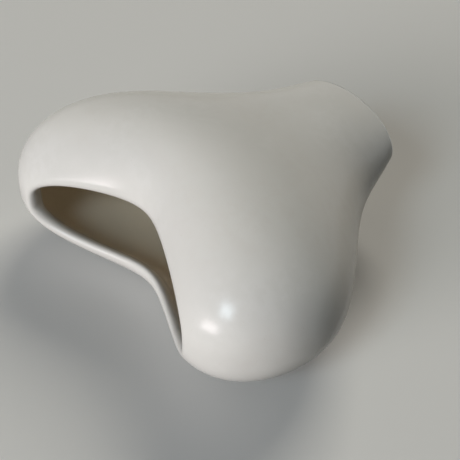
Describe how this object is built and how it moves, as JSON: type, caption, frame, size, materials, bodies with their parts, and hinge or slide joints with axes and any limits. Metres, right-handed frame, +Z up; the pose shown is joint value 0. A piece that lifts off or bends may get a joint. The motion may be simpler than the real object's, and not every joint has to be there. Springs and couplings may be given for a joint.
{
  "type": "vase",
  "caption": "Heart-shaped ceramic flower vase with full lobes, a wide slit mouth along the cleft, a tapering neck and a flat oval foot, lying on its back.",
  "frame": {"origin": "centre of the bounding box, at the lowest point of the back that the vase lies on", "axes": "+X across the lobes, +Y along the upright axis towards the foot, -Y out of the mouth, +Z up from the back to the front"},
  "size_m": [0.2414, 0.1956, 0.1046],
  "materials": {
    "satin_glaze": "satin off-white glaze all over, with the flat face of the foot left bare"
  },
  "bodies": {
    "root": {"vase_body": "satin_glaze"}
  },
  "joints": []
}
